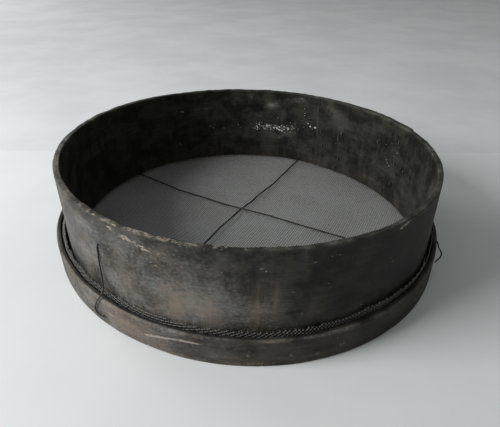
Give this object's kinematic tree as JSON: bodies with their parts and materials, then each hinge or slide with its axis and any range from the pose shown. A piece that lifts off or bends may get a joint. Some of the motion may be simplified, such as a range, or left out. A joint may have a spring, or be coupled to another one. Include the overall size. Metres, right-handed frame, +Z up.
{
  "type": "hand sieve",
  "caption": "Round bentwood hand sieve: tall wooden hoop on a woven wire cloth bottom, held by a low nailed retaining hoop, with crossed wires and wire ties.",
  "frame": {"origin": "on the floor under the middle of the sieve, at the lower edge of the retaining hoop", "axes": "+Z up along the hoop's axis; -Y is the side with the split in the retaining hoop and +X is the side with the short wire loop"},
  "size_m": [0.4322, 0.4341, 0.1108],
  "materials": {
    "hoop_wood": "old grimy bent wood, dark grey-brown, worn to bare wood along the rim",
    "band_wood": "old grimy bent wood, grey-brown, with a split along the grain",
    "wire_cloth": "dull oxidised plain-weave steel wire",
    "support_wire": "blackened iron wire",
    "tie_wire": "blackened iron wire",
    "nail": "rusty small nails"
  },
  "bodies": {
    "root": {"main_hoop": "hoop_wood", "retaining_hoop": "band_wood", "wire_cloth": "wire_cloth", "wire_cloth_edge": "wire_cloth", "cross_wire_lower": "support_wire", "cross_wire_upper": "support_wire", "tie_wire_left": "tie_wire", "tie_wire_right": "tie_wire", "hoop_lap_nail_01": "nail", "hoop_lap_nail_02": "nail", "hoop_lap_nail_03": "nail", "hoop_lap_nail_04": "nail", "hoop_lap_nail_05": "nail", "hoop_lap_nail_06": "nail", "hoop_lap_nail_07": "nail", "hoop_lap_nail_08": "nail", "hoop_lap_nail_09": "nail", "hoop_lap_nail_10": "nail", "band_lap_nail_01": "nail", "band_lap_nail_02": "nail", "band_lap_nail_03": "nail", "band_lap_nail_04": "nail", "band_nail_01": "nail", "band_nail_02": "nail", "band_nail_03": "nail", "band_nail_04": "nail", "band_nail_05": "nail", "band_nail_06": "nail", "band_nail_07": "nail", "band_nail_08": "nail", "band_nail_09": "nail", "band_nail_10": "nail", "band_nail_11": "nail", "band_nail_12": "nail", "band_nail_13": "nail"}
  },
  "joints": []
}
